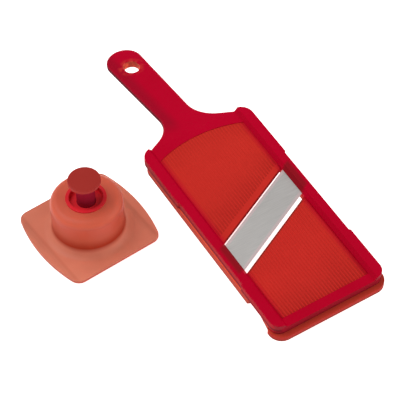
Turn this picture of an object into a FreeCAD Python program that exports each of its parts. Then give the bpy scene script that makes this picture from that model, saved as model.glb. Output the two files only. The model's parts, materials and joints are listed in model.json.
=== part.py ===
import FreeCAD, Part
import math
import os
import Sketcher
from FreeCAD import Placement, Rotation, Vector

# A hand-held mandoline slicer and its food guard. Millimetres, +Z up, +Y towards the
# handle, origin on the ground under the middle of the slicer's front foot.
# The slicer's pieces are drawn level, from the front edge back, and then leaned back
# together, because the slicer rests on its front foot and on the tip of its drooping
# handle.

SIZES = {
    # slicer, in plan
    "body_width": 93.0, "body_length": 187.0, "front_shelf": 4.0, "front_corner": 8.0,
    "rail_width": 10.2, "rail_inset": 1.1, "rail_round": 0.5, "rail_slope": 2.5,
    "inset_front": 48.0, "inset_from_rear": 55.0, "hook_reach": 9.6, "hook_inset": 6.9,
    "front_land": 7.5, "panel_from_rear": 12.5, "panel_arc": 97.6, "panel_grip": 1.2,
    # slicer, heights above the lower frame's underside
    "lower_height": 6.3, "frame_gap": 0.5, "deck_height": 10.5, "rail_height": 13.5,
    "skirt_height": 4.6, "skirt_gap": 0.4, "skirt_depth": 8.5,
    # panels
    "upper_panel_top": 10.0, "upper_panel_thick": 2.0, "ramp_length": 5.6, "ramp_drop": 1.3,
    "lower_panel_top": 9.0, "lower_panel_thick": 1.4, "panel_side_gap": 0.05,
    # blade
    "blade_angle": 26.4, "blade_middle": 90.3, "blade_half_width": 11.5,
    "blade_inset": 3.5, "blade_top": 10.2, "blade_thick": 0.7, "blade_gap": 0.15,
    "blade_bevel": 2.2, "blade_edge": 0.1, "clamp_setback": 0.5, "near_slot": 2.3,
    "far_slot": 1.5,
    # screws
    "screw_radius": 1.4, "screw_head": 2.6, "screw_head_height": 1.2, "screw_offset": 6.0,
    "screw_bite": 1.8, "screw_inset": 3.7, "screw_gap": 0.05, "screw_room": 0.1,
    # handle
    "handle_length": 119.0, "handle_bend": 10.5, "handle_thick": 6.0, "neck_half": 12.8,
    "tip_half": 14.4, "shoulder_drop": 14.7, "shoulder_fillet": 26.0, "handle_round": 3.0,
    "handle_under": 1.5, "handle_wall": 2.5, "cover_thick": 2.0, "cover_start": 14.0,
    "cover_from_tip": 41.0, "cover_gap": 0.2, "cover_bite": 0.3,
    "boss_radius": 3.2, "boss_margin": 3.0,
    "hang_width": 12.0, "hang_length": 15.0, "hang_from_tip": 27.0,
    # lower frame
    "nose_overhang": 1.1, "nose_length": 12.0, "nose_corner": 10.3, "nose_step": 2.0,
    "waist_inset": 3.1, "waist_front": 29.0, "waist_rear": 39.2, "waist_step": 1.2,
    "skid_inset": 0.5, "lower_wall": 8.0, "lower_rear_bar": 14.0, "lower_setback": 3.0,
    "lower_round": 0.8, "peg_radius": 1.5, "peg_inset": 5.0, "peg_front": 24.0,
    "peg_from_rear": 37.0, "peg_depth": 3.0, "peg_gap": 0.2,
    # feet
    "foot_length": 68.0, "foot_width": 6.0, "foot_setback": 2.0, "handle_foot_width": 12.0,
    "handle_foot_length": 9.0, "handle_foot_from_tip": 10.0, "handle_stand": 2.6,
    "foot_recess": 1.0, "foot_stand": 0.8, "foot_gap": 0.05, "foot_side_gap": 0.2,
    # guard
    "flange_inset": 0.5, "flange_length": 79.2, "flange_thick": 2.2, "wing_arc": 124.0,
    "flange_corner": 8.0, "flange_round": 0.7, "guide_gap": 0.3, "guide_height": 3.0,
    "guide_thick": 2.0, "guide_bond": 0.5, "dome_radius": 26.5, "dome_wall": 2.4,
    "guard_height": 37.0, "dome_shoulder": 6.0, "dome_flare": 7.0, "inner_flare": 5.0,
    "guard_turn": 4.3, "guard_x": -105.0, "guard_y": 155.6,
    # guard, collar and plunger
    "collar_radius": 13.9, "collar_wall": 1.7, "collar_depth": 7.8, "collar_floor": 3.6,
    "collar_lip": 0.9, "collar_gap": 0.1, "stem_radius": 6.8, "stem_gap": 0.25,
    "stem_wall": 1.8, "stem_floor": 4.0, "knob_radius": 11.9, "knob_thick": 2.6,
    "knob_taper": 3.6, "knob_top": 57.0, "knob_neck": 8.2, "knob_grip": 2.6,
    "knob_round": 0.8, "ring_wire": 1.0, "ring_gap": 0.06, "ring_room": 0.1,
    "pusher_inset": 5.5, "pusher_thick": 2.8, "pusher_gap": 0.4, "pin_radius": 0.8,
    "pin_length": 7.0, "pin_circle": 13.0, "pin_count": 6.0, "pin_seat": 2.1,
    "pin_gap": 0.03, "pin_point": 2.0, "plunger_screw": 1.0, "plunger_head": 2.6,
    "plunger_head_height": 1.3, "plunger_bite": 3.2,
}


class Size:
    """A length with both its value and the spreadsheet expression that it came from."""

    def __init__(self, value, text):
        self.value = value
        self.text = text

    def _join(self, other, sign, value):
        text = other.text if isinstance(other, Size) else repr(float(other))
        return Size(value, "(" + self.text + " " + sign + " " + text + ")")

    def __add__(self, other):
        return self._join(other, "+", self.value + number(other))

    def __radd__(self, other):
        return self + other

    def __sub__(self, other):
        return self._join(other, "-", self.value - number(other))

    def __rsub__(self, other):
        return -self + other

    def __mul__(self, other):
        return self._join(other, "*", self.value * number(other))

    def __rmul__(self, other):
        return self * other

    def __truediv__(self, other):
        return self._join(other, "/", self.value / number(other))

    def __neg__(self):
        return Size(-self.value, "(0 - " + self.text + ")")


def number(size):
    return size.value if isinstance(size, Size) else float(size)


doc = FreeCAD.newDocument("mandoline_slicer")
sheet = doc.addObject("Spreadsheet::Sheet", "Sizes")
S = {}
for row, (alias, value) in enumerate(SIZES.items(), start=1):
    sheet.set("A%d" % row, alias)
    sheet.set("B%d" % row, str(value))
    sheet.setAlias("B%d" % row, alias)
    S[alias] = Size(value, "Sizes." + alias)
doc.recompute()

# ---------------------------------------------------------------- drawing helpers

PARTS = []
EVERYWHERE = 400.0


def new_body(label, placement):
    body = doc.addObject("PartDesign::Body", label)
    body.Label = label
    body.Placement = placement
    PARTS.append(body)
    return body


def bind(target, path, size):
    """Ties a property to the sheet when the size came from it."""
    if isinstance(size, Size):
        target.setExpression(path, size.text)
        return
    setattr(target, path, size)


def new_sketch(body, name, role="XY_Plane", height=None, droop=None):
    sketch = body.newObject("Sketcher::SketchObject", name)
    plane = [item for item in body.Origin.OriginFeatures if item.Role == role][0]
    sketch.AttachmentSupport = (plane, [""])
    sketch.MapMode = "FlatFace"
    if droop is not None:
        bend_y, bend_z, angle = droop
        sketch.AttachmentOffset = Placement(Vector(0, bend_y.value, bend_z.value),
                                            Rotation(Vector(1, 0, 0), -angle.value))
    elif height is not None:
        sketch.AttachmentOffset = Placement(Vector(0, 0, number(height)), Rotation())
        if isinstance(height, Size):
            sketch.setExpression(".AttachmentOffset.Base.z", height.text)
    return sketch


def place_point(sketch, geometry, point, x, y):
    """Fixes one point of the sketch at x, y from its origin."""
    for kind, size in (("DistanceX", x), ("DistanceY", y)):
        index = sketch.addConstraint(
            Sketcher.Constraint(kind, -1, 1, geometry, point, number(size)))
        if isinstance(size, Size):
            sketch.setExpression("Constraints[%d]" % index, size.text)


def draw_outline(sketch, corners):
    """A closed outline through corners, taken anticlockwise.

    A corner is (x, y), or (x, y, radius) where the edge to the next corner is an arc
    that swells outwards."""
    points = [Vector(number(c[0]), number(c[1]), 0) for c in corners]
    count = len(corners)
    for i, corner in enumerate(corners):
        first = points[i]
        last = points[(i + 1) % count]
        if len(corner) == 2:
            sketch.addGeometry(Part.LineSegment(first, last), False)
            continue
        radius = number(corner[2])
        chord = last - first
        inward = Vector(-chord.y, chord.x, 0).normalize()
        middle = (first + last) / 2
        depth = math.sqrt(max(radius ** 2 - (chord.Length / 2) ** 2, 0))
        centre = middle + inward * depth
        start = math.atan2(first.y - centre.y, first.x - centre.x)
        end = math.atan2(last.y - centre.y, last.x - centre.x)
        circle = Part.Circle(centre, Vector(0, 0, 1), radius)
        sketch.addGeometry(Part.ArcOfCircle(circle, start, end), False)
    for i, corner in enumerate(corners):
        sketch.addConstraint(Sketcher.Constraint("Coincident", i, 2, (i + 1) % count, 1))
    for i, corner in enumerate(corners):
        place_point(sketch, i, 1, corner[0], corner[1])
        if len(corner) == 3:
            index = sketch.addConstraint(Sketcher.Constraint("Radius", i, number(corner[2])))
            if isinstance(corner[2], Size):
                sketch.setExpression("Constraints[%d]" % index, corner[2].text)


def draw_circle(sketch, x, y, radius):
    circle = Part.Circle(Vector(number(x), number(y), 0), Vector(0, 0, 1), number(radius))
    geometry = sketch.addGeometry(circle, False)
    place_point(sketch, geometry, 3, x, y)
    index = sketch.addConstraint(Sketcher.Constraint("Radius", geometry, number(radius)))
    if isinstance(radius, Size):
        sketch.setExpression("Constraints[%d]" % index, radius.text)


def extrude(body, kind, name, sketch, length, downwards=False, both=False):
    feature = body.newObject("PartDesign::" + kind, name)
    feature.Profile = sketch
    bind(feature, "Length", length)
    feature.Reversed = downwards
    if both:
        feature.SideType = "Symmetric"
    doc.recompute()
    return feature


def pad(body, name, sketch, height, downwards=False, both=False):
    return extrude(body, "Pad", name, sketch, height, downwards, both)


def pocket_up(body, name, sketch, depth):
    """Cuts upwards from the sketch."""
    return extrude(body, "Pocket", name, sketch, depth, downwards=True)


def pocket_down(body, name, sketch, depth):
    """Cuts downwards from the sketch."""
    return extrude(body, "Pocket", name, sketch, depth)


def turn(body, kind, name, sketch):
    """A full turn of the sketch about its vertical axis."""
    feature = body.newObject("PartDesign::" + kind, name)
    feature.Profile = sketch
    feature.ReferenceAxis = (sketch, ["V_Axis"])
    feature.Angle = 360
    doc.recompute()
    return feature


def edge_names(feature, wanted):
    return ["Edge%d" % (i + 1) for i, edge in enumerate(feature.Shape.Edges) if wanted(edge)]


def round_edges(body, name, feature, radius, wanted):
    names = edge_names(feature, wanted)
    fillet = body.newObject("PartDesign::Fillet", name)
    fillet.Base = (feature, names)
    bind(fillet, "Radius", radius)
    doc.recompute()
    return fillet


# ---------------------------------------------------------------- shared sizes

half_width = S["body_width"] / 2
front = S["front_shelf"]
rear = S["body_length"]
frame_bottom = S["lower_height"] + S["frame_gap"]
blade_slope = Size(math.tan(math.radians(S["blade_angle"].value)),
                   "tan(Sizes.blade_angle * 1 deg)")
blade_widen = Size(1 / math.cos(math.radians(S["blade_angle"].value)),
                   "(1 / cos(Sizes.blade_angle * 1 deg))")
blade_bottom = S["blade_top"] - S["blade_thick"]
channel_half = half_width - S["rail_width"]
hook_half_gap = half_width - S["hook_inset"]
blade_reach = half_width - S["blade_inset"]
peg_half = half_width - S["peg_inset"]
skid_half = half_width - S["skid_inset"]
nose_half = half_width + S["nose_overhang"]
waist_half = half_width - S["waist_inset"]
guide_half = channel_half - S["guide_gap"]
screw_x = channel_half + S["screw_inset"]
inset_rear = rear - S["inset_from_rear"]
panel_rear = rear - S["panel_from_rear"]
peg_rear = rear - S["peg_from_rear"]
cover_end = S["handle_length"] - S["cover_from_tip"]
pusher_radius = S["dome_radius"] - S["pusher_inset"]
droop = (rear, S["deck_height"], S["handle_bend"])


def hook_arc(half):
    """The radius that turns smoothly from a side of the frame to its hook tip."""
    gap = half - hook_half_gap
    return (gap * gap + S["hook_reach"] * S["hook_reach"]) / (gap * 2)


def beside_blade(x, offset):
    """The y of a line that runs along the blade, offset squarely from its middle."""
    return S["blade_middle"] + x * blade_slope + offset * blade_widen


def blade_strip(low_x, high_x, half):
    return [(low_x, beside_blade(low_x, -half)), (high_x, beside_blade(high_x, -half)),
            (high_x, beside_blade(high_x, half)), (low_x, beside_blade(low_x, half))]


def box_corners(low_x, low_y, high_x, high_y):
    return [(low_x, low_y), (high_x, low_y), (high_x, high_y), (low_x, high_y)]


def under_handle(along, depth):
    """The level y and z of a point along the handle, depth below its top face."""
    bend = math.radians(S["handle_bend"].value)
    return (rear.value + along * math.cos(bend) - depth * math.sin(bend),
            S["deck_height"].value - along * math.sin(bend) - depth * math.cos(bend))


def lean_of_slicer():
    """The angle at which the front foot and the handle foot share the ground."""
    along = S["handle_length"].value - S["handle_foot_from_tip"].value
    y, z = under_handle(along, S["handle_thick"].value)
    rise = S["handle_stand"].value - S["foot_stand"].value
    return math.asin(rise / math.hypot(y, z)) - math.atan2(z, y)


lean = lean_of_slicer()


def ground_below(y):
    """The level height of the ground, which slopes away under the leaning slicer."""
    return -(S["foot_stand"].value + y * math.sin(lean)) / math.cos(lean)


foot_middle = S["foot_setback"].value + S["foot_width"].value / 2
foot_shift = foot_middle * math.cos(lean) - ground_below(foot_middle) * math.sin(lean)
slicer_pose = Placement(Vector(0, -foot_shift, S["foot_stand"].value),
                        Rotation(Vector(1, 0, 0), math.degrees(lean)))
guard_pose = Placement(Vector(S["guard_x"].value, S["guard_y"].value, 0),
                       Rotation(Vector(0, 0, 1), S["guard_turn"].value))


def panel_rear_corners(grip):
    """The curved rear end of the channel, grip further out than its visible edge."""
    side = channel_half + grip
    end = panel_rear + grip
    return (side, end, S["panel_arc"] + grip), (-side, end)


def upper_panel_corners(grip, slot):
    side = channel_half + grip
    edge = S["blade_half_width"] + slot
    right, left = panel_rear_corners(grip)
    return [(-side, beside_blade(-side, edge)), (side, beside_blade(side, edge)), right, left]


def lower_panel_corners(grip, slot):
    side = channel_half + grip
    edge = S["blade_half_width"] + slot
    start = front + S["front_land"] - grip
    return [(-side, start), (side, start),
            (side, beside_blade(side, -edge)), (-side, beside_blade(-side, -edge))]


def handle_corners():
    """The handle's outline in its own drooping plane, from the shoulder to the tip."""
    neck = S["neck_half"]
    tip = S["tip_half"]
    bulge = S["handle_length"] - tip
    shoulder = S["shoulder_drop"]
    hook = hook_half_gap
    return [(-hook, 0), (hook, 0), (neck, shoulder), (tip, bulge, tip),
            (0, S["handle_length"], tip), (-tip, bulge), (-neck, shoulder)]


def screw_places():
    return [(side, beside_blade(side, offset))
            for side in (screw_x, -screw_x)
            for offset in (S["screw_offset"], -S["screw_offset"])]


def peg_places():
    return [(side, y) for side in (peg_half, -peg_half)
            for y in (S["peg_front"], peg_rear)]


def cover_screw_places():
    inset = S["boss_radius"] + S["boss_margin"]
    return [(0, S["cover_start"] + inset), (0, cover_end - inset)]


def hang_corners():
    half = S["hang_width"] / 2
    start = S["handle_length"] - S["hang_from_tip"]
    end = start + S["hang_length"] - S["hang_width"]
    return [(half, start), (half, end, half), (0, end + half, half), (-half, end),
            (-half, start, half), (0, start - half, half)]


# ---------------------------------------------------------------- slicer

def make_upper_frame():
    body = new_body("upper_frame", slicer_pose)
    spine = new_sketch(body, "handle_plan", droop=droop)
    draw_outline(spine, handle_corners())
    handle = pad(body, "handle", spine, S["handle_thick"], downwards=True)
    flare = round_edges(body, "shoulders", handle, S["shoulder_fillet"], is_shoulder_edge)
    top = round_edges(body, "handle_top", flare, S["handle_round"],
                      lambda edge: in_handle_plane(edge, 0))
    round_edges(body, "handle_bottom", top, S["handle_under"],
                lambda edge: in_handle_plane(edge, -S["handle_thick"].value))
    corner = S["front_corner"]
    step = half_width - S["rail_inset"]
    hook_y = rear - S["hook_reach"]
    tip = hook_half_gap
    arc = hook_arc(half_width)
    plan = new_sketch(body, "plan", height=frame_bottom)
    draw_outline(plan, [
        (-half_width + corner, front), (half_width - corner, front, corner),
        (half_width, front + corner), (half_width, S["inset_front"]),
        (step, S["inset_front"] + S["rail_inset"]), (step, inset_rear),
        (half_width, inset_rear + S["rail_inset"]), (half_width, hook_y, arc),
        (tip, rear), (-tip, rear, arc),
        (-half_width, hook_y), (-half_width, inset_rear + S["rail_inset"]),
        (-step, inset_rear), (-step, S["inset_front"] + S["rail_inset"]),
        (-half_width, S["inset_front"]), (-half_width, front + corner, corner)])
    rails = pad(body, "rails", plan, S["rail_height"] - frame_bottom)
    round_edges(body, "rail_edges", rails, S["rail_round"],
                lambda edge: edge_is_level(edge, S["rail_height"].value)
                and edge.Vertexes[0].Point.y + edge.Vertexes[-1].Point.y < rear.value * 2 - 1)
    lip = new_sketch(body, "lip", height=frame_bottom)
    draw_outline(lip, [
        (-half_width + corner, front), (half_width - corner, front, corner),
        (half_width, front + corner), (half_width, front + S["skirt_depth"]),
        (-half_width, front + S["skirt_depth"]), (-half_width, front + corner, corner)])
    pad(body, "front_skirt", lip, frame_bottom - S["skirt_height"], downwards=True)
    channel = new_sketch(body, "channel", role="XZ_Plane")
    side = channel_half
    spread = side + S["rail_slope"]
    draw_outline(channel, [(-side, S["deck_height"]), (side, S["deck_height"]),
                           (spread, S["rail_height"]), (spread, S["rail_height"] + 1),
                           (-spread, S["rail_height"] + 1), (-spread, S["rail_height"])])
    extrude(body, "Pocket", "channel_cut", channel, EVERYWHERE * 2, both=True)
    opening = new_sketch(body, "opening", height=S["rail_height"])
    right, left = panel_rear_corners(0)
    start = front + S["front_land"]
    draw_outline(opening, [(-side, start), (side, start), right, left])
    pocket_down(body, "opening_cut", opening, EVERYWHERE)
    groove = new_sketch(body, "upper_groove", height=S["upper_panel_top"] - S["upper_panel_thick"])
    draw_outline(groove, upper_panel_corners(S["panel_grip"], S["far_slot"]))
    pocket_up(body, "upper_groove_cut", groove, S["upper_panel_thick"])
    groove = new_sketch(body, "lower_groove", height=S["lower_panel_top"] - S["lower_panel_thick"])
    draw_outline(groove, lower_panel_corners(S["panel_grip"], S["near_slot"]))
    pocket_up(body, "lower_groove_cut", groove, S["lower_panel_thick"])
    seat = new_sketch(body, "blade_seat", height=frame_bottom)
    reach = blade_reach + S["blade_gap"]
    draw_outline(seat, blade_strip(-reach, reach, S["blade_half_width"] + S["blade_gap"]))
    pocket_up(body, "blade_seat_cut", seat, S["blade_top"] + S["screw_gap"] - frame_bottom)
    holes = new_sketch(body, "screw_holes", height=blade_bottom)
    for x, y in screw_places():
        draw_circle(holes, x, y, S["screw_radius"] + S["screw_gap"])
    pocket_up(body, "screw_holes_cut", holes, S["blade_thick"] + S["screw_bite"] + S["screw_room"])
    pegs = new_sketch(body, "pegs", height=frame_bottom)
    for x, y in peg_places():
        draw_circle(pegs, x, y, S["peg_radius"])
    pad(body, "pegs_down", pegs, S["peg_depth"], downwards=True)
    hollow = new_sketch(body, "handle_hollow", droop=droop)
    draw_outline(hollow, cover_corners(0))
    sink(hollow, S["handle_thick"])
    pocket_up(body, "handle_hollow_cut", hollow, S["handle_thick"] - S["handle_wall"])
    bosses = new_sketch(body, "cover_bosses", droop=droop)
    sink(bosses, S["handle_wall"])
    for x, y in cover_screw_places():
        draw_circle(bosses, x, y, S["boss_radius"])
    depth = S["handle_thick"] - S["handle_wall"] - S["cover_thick"]
    pad(body, "cover_bosses_down", bosses, depth, downwards=True)
    pilots = new_sketch(body, "cover_pilots", droop=droop)
    sink(pilots, S["handle_thick"])
    for x, y in cover_screw_places():
        draw_circle(pilots, x, y, S["screw_radius"] + S["screw_gap"])
    pocket_up(body, "cover_pilots_cut", pilots, S["cover_thick"] + depth + S["cover_bite"]
              + S["screw_room"])
    recess = new_sketch(body, "foot_recess", droop=droop)
    sink(recess, S["handle_thick"])
    draw_outline(recess, handle_foot_corners(S["foot_side_gap"]))
    pocket_up(body, "foot_recess_cut", recess, S["foot_recess"])
    hang = new_sketch(body, "hang_hole", droop=droop)
    draw_outline(hang, hang_corners())
    extrude(body, "Pocket", "hang_hole_cut", hang, EVERYWHERE, both=True)


def sink(sketch, depth):
    """Moves a drooping sketch down, square to its own plane."""
    sketch.AttachmentOffset = sketch.AttachmentOffset * Placement(
        Vector(0, 0, -depth.value), Rotation())


def edge_is_level(edge, height):
    return all(abs(vertex.Point.z - height) < 0.001 for vertex in edge.Vertexes)


def cover_corners(inset):
    """The handle's underside opening, inset from it on every side."""
    half = S["neck_half"] - S["handle_wall"] - inset
    start = S["cover_start"] + inset
    end = cover_end - inset
    return box_corners(-half, start, half, end)


def handle_height(point):
    """How far a point stands above the plane of the handle's top face."""
    bend = math.radians(S["handle_bend"].value)
    along = point.y - rear.value
    up = point.z - S["deck_height"].value
    return along * math.sin(bend) + up * math.cos(bend)


def in_handle_plane(edge, height):
    points = [vertex.Point for vertex in edge.Vertexes] + [edge.valueAt(
        (edge.FirstParameter + edge.LastParameter) / 2)]
    level = all(abs(handle_height(point) - height) < 0.01 for point in points)
    beyond = all(point.y > rear.value - 2 for point in points)
    across = all(abs(point.y - points[0].y) < 0.01 for point in points)
    return level and beyond and not across


def is_shoulder_edge(edge):
    points = [vertex.Point for vertex in edge.Vertexes]
    if len(points) != 2:
        return False
    shoulder = all(abs(abs(point.x) - S["neck_half"].value) < 0.01 for point in points)
    return shoulder and abs(points[0].z - points[1].z) > S["handle_thick"].value / 2


def make_panel(label, corners, top, thick):
    body = new_body(label, slicer_pose)
    plan = new_sketch(body, "plan", height=top - thick)
    draw_outline(plan, corners)
    return body, pad(body, "plate", plan, thick)


def bevel(body, name, feature, depth, width, wanted):
    """Slopes one or more edges away: depth down their side face, width along the top."""
    chamfer = body.newObject("PartDesign::Chamfer", name)
    chamfer.Base = (feature, edge_names(feature, wanted))
    chamfer.ChamferType = "Two distances"
    bind(chamfer, "Size", depth)
    bind(chamfer, "Size2", width)
    doc.recompute()
    return chamfer


def runs_along_blade(height):
    """Picks level edges that run at the blade's angle."""
    def wanted(edge):
        if not edge_is_level(edge, height) or not isinstance(edge.Curve, Part.Line):
            return False
        run = edge.Vertexes[1].Point - edge.Vertexes[0].Point
        return abs(run.x) > 1 and abs(abs(run.y / run.x) - blade_slope.value) < 0.01
    return wanted


def make_panels():
    grip = S["panel_grip"] - S["panel_side_gap"]
    gap = S["panel_side_gap"]
    upper = upper_panel_corners(grip, S["far_slot"] + gap)
    body, plate = make_panel("upper_panel", upper, S["upper_panel_top"],
                             S["upper_panel_thick"])
    bevel(body, "ramp", plate, S["ramp_drop"], S["ramp_length"],
          runs_along_blade(S["upper_panel_top"].value))
    low = lower_panel_corners(grip, S["near_slot"] + gap)
    make_panel("lower_panel", low, S["lower_panel_top"], S["lower_panel_thick"])


def make_blade():
    body = new_body("blade", slicer_pose)
    plan = new_sketch(body, "plan", height=blade_bottom)
    draw_outline(plan, blade_strip(-blade_reach, blade_reach, S["blade_half_width"]))
    strip = pad(body, "strip", plan, S["blade_thick"])
    bevel(body, "cutting_edges", strip, S["blade_thick"] - S["blade_edge"], S["blade_bevel"],
          runs_along_blade(blade_bottom.value))
    holes = new_sketch(body, "holes", height=S["blade_top"])
    for x, y in screw_places():
        draw_circle(holes, x, y, S["screw_radius"] + S["screw_gap"])
    pocket_down(body, "holes_cut", holes, EVERYWHERE)


def make_blade_clamp(label, side):
    body = new_body(label, slicer_pose)
    inner = channel_half + S["clamp_setback"]
    half = S["blade_half_width"]
    low, high = (inner, blade_reach) if side > 0 else (-blade_reach, -inner)
    plan = new_sketch(body, "plan", height=frame_bottom)
    draw_outline(plan, blade_strip(low, high, half))
    pad(body, "block", plan, blade_bottom - S["screw_gap"] - frame_bottom)
    places = [place for place in screw_places() if place[0].value * side > 0]
    holes = new_sketch(body, "holes", height=blade_bottom)
    heads = new_sketch(body, "heads", height=frame_bottom)
    for x, y in places:
        draw_circle(holes, x, y, S["screw_radius"] + S["screw_gap"])
        draw_circle(heads, x, y, S["screw_head"] + S["screw_gap"])
    pocket_down(body, "holes_cut", holes, EVERYWHERE)
    pocket_up(body, "heads_cut", heads, S["screw_head_height"] + S["screw_gap"])


def make_screws(label, places, head_height, shank_height, shank_length, along_handle=None):
    """A group of equal pan-head screws that point upwards, heads lowest."""
    body = new_body(label, slicer_pose)
    body.AllowCompound = True
    heads = new_sketch(body, "heads", height=head_height, droop=along_handle)
    shanks = new_sketch(body, "shanks", height=shank_height, droop=along_handle)
    if along_handle is not None:
        sink(heads, head_height)
        sink(shanks, shank_height)
    for x, y in places:
        draw_circle(heads, x, y, S["screw_head"])
        draw_circle(shanks, x, y, S["screw_radius"])
    pad(body, "head", heads, S["screw_head_height"])
    pad(body, "shank", shanks, shank_length)


def make_handle_cover():
    body = new_body("handle_cover", slicer_pose)
    plan = new_sketch(body, "plan", droop=droop)
    sink(plan, S["handle_thick"])
    draw_outline(plan, cover_corners(S["cover_gap"]))
    pad(body, "plate", plan, S["cover_thick"] - S["screw_gap"])
    heads = new_sketch(body, "heads", droop=droop)
    sink(heads, S["handle_thick"])
    holes = new_sketch(body, "holes", droop=droop)
    sink(holes, S["handle_thick"])
    for x, y in cover_screw_places():
        draw_circle(heads, x, y, S["screw_head"] + S["screw_gap"])
        draw_circle(holes, x, y, S["screw_radius"] + S["screw_gap"])
    pocket_up(body, "heads_cut", heads, S["screw_head_height"] + S["screw_gap"])
    pocket_up(body, "holes_cut", holes, EVERYWHERE)


def make_lower_frame():
    body = new_body("lower_frame", slicer_pose)
    nose = nose_half
    corner = S["nose_corner"]
    waist = waist_half
    skid = skid_half
    back = rear - S["lower_setback"]
    hook_y = back - S["hook_reach"]
    tip = hook_half_gap
    right = [
        (nose - corner, 0, corner), (nose, corner), (nose, S["nose_length"]),
        (waist + S["rail_slope"], S["nose_length"] + S["nose_step"]),
        (waist, S["waist_front"]), (waist, S["waist_rear"]),
        (skid, S["waist_rear"] + S["waist_step"]), (skid, hook_y, hook_arc(skid)),
        (tip, back)]
    left = [
        (-tip, back, hook_arc(skid)), (-skid, hook_y),
        (-skid, S["waist_rear"] + S["waist_step"]), (-waist, S["waist_rear"]),
        (-waist, S["waist_front"]),
        (-waist - S["rail_slope"], S["nose_length"] + S["nose_step"]),
        (-nose, S["nose_length"]), (-nose, corner, corner), (-nose + corner, 0)]
    plan = new_sketch(body, "plan", height=0)
    draw_outline(plan, right + left)
    ring = pad(body, "ring", plan, S["lower_height"])
    round_edges(body, "ring_edges", ring, S["lower_round"],
                lambda edge: edge_is_level(edge, S["lower_height"].value))
    side = skid - S["lower_wall"]
    opening = new_sketch(body, "opening", height=S["lower_height"])
    draw_outline(opening, box_corners(-side, front + S["skirt_depth"], side,
                                      back - S["lower_rear_bar"]))
    pocket_down(body, "opening_cut", opening, EVERYWHERE)
    shelf = new_sketch(body, "shelf", height=S["skirt_height"] - S["skirt_gap"])
    draw_outline(shelf, box_corners(-half_width - 5, -1, half_width + 5,
                                    front + S["skirt_depth"] + S["skirt_gap"]))
    pocket_up(body, "shelf_cut", shelf, S["lower_height"])
    sockets = new_sketch(body, "sockets", height=S["lower_height"])
    for x, y in peg_places():
        draw_circle(sockets, x, y, S["peg_radius"] + S["peg_gap"])
    pocket_down(body, "sockets_cut", sockets, S["peg_depth"] - S["frame_gap"] + S["peg_gap"])
    recess = new_sketch(body, "foot_recess", height=0)
    draw_outline(recess, foot_corners(S["foot_side_gap"]))
    pocket_up(body, "foot_recess_cut", recess, S["foot_recess"])


def foot_corners(grow):
    half = S["foot_length"] / 2 + grow
    return box_corners(-half, S["foot_setback"] - grow, half,
                       S["foot_setback"] + S["foot_width"] + grow)


def handle_foot_corners(grow):
    half = S["handle_foot_width"] / 2 + grow
    middle = S["handle_length"] - S["handle_foot_from_tip"]
    reach = S["handle_foot_length"] / 2 + grow
    return box_corners(-half, middle - reach, half, middle + reach)


def make_foot(label, corners, width):
    """A rubber pad whose underside lies flat on the ground though the slicer leans."""
    body = new_body(label, slicer_pose)
    profile = new_sketch(body, "profile", role="YZ_Plane")
    draw_outline(profile, corners)
    pad(body, "pad", profile, width, both=True)


def make_feet():
    near = S["foot_setback"]
    far = near + S["foot_width"]
    top = S["foot_recess"] - S["foot_gap"]
    make_foot("front_foot", [(near, ground_below(near.value)), (far, ground_below(far.value)),
                             (far, top), (near, top)], S["foot_length"])
    middle = S["handle_length"].value - S["handle_foot_from_tip"].value
    reach = S["handle_foot_length"].value / 2
    depth = S["handle_thick"].value
    roof = depth - S["foot_recess"].value + S["foot_gap"].value
    near_y = under_handle(middle - reach, depth)[0]
    far_y = under_handle(middle + reach, depth)[0]
    make_foot("handle_foot", [(near_y, ground_below(near_y)), (far_y, ground_below(far_y)),
                              under_handle(middle + reach, roof),
                              under_handle(middle - reach, roof)], S["handle_foot_width"])


def make_slicer():
    make_upper_frame()
    make_panels()
    make_blade()
    make_blade_clamp("blade_clamp_right", 1)
    make_blade_clamp("blade_clamp_left", -1)
    make_screws("blade_screws", screw_places(), frame_bottom, frame_bottom,
                S["blade_top"] + S["screw_bite"] - frame_bottom)
    make_handle_cover()
    make_screws("cover_screws", cover_screw_places(), S["handle_thick"], S["handle_thick"],
                S["handle_thick"] - S["handle_wall"] + S["cover_bite"], along_handle=droop)
    make_lower_frame()
    make_feet()


# ---------------------------------------------------------------- guard

def spin(body, name, points, kind="Revolution"):
    profile = new_sketch(body, name + "_profile", role="XZ_Plane")
    draw_outline(profile, points)
    return turn(body, kind, name, profile)


def circle_edges(radius, height):
    def wanted(edge):
        curve = edge.Curve
        if not isinstance(curve, Part.Circle):
            return False
        return abs(curve.Radius - radius) < 0.01 and abs(curve.Center.z - height) < 0.01
    return wanted


flange_top = S["guide_height"] + S["flange_thick"]
collar_top = S["guard_height"] + S["collar_lip"]
collar_bottom = collar_top - S["collar_depth"]
pusher_top = collar_bottom - S["pusher_gap"]
pusher_bottom = pusher_top - S["pusher_thick"]
knob_bottom = S["knob_top"] - S["knob_thick"]


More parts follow.
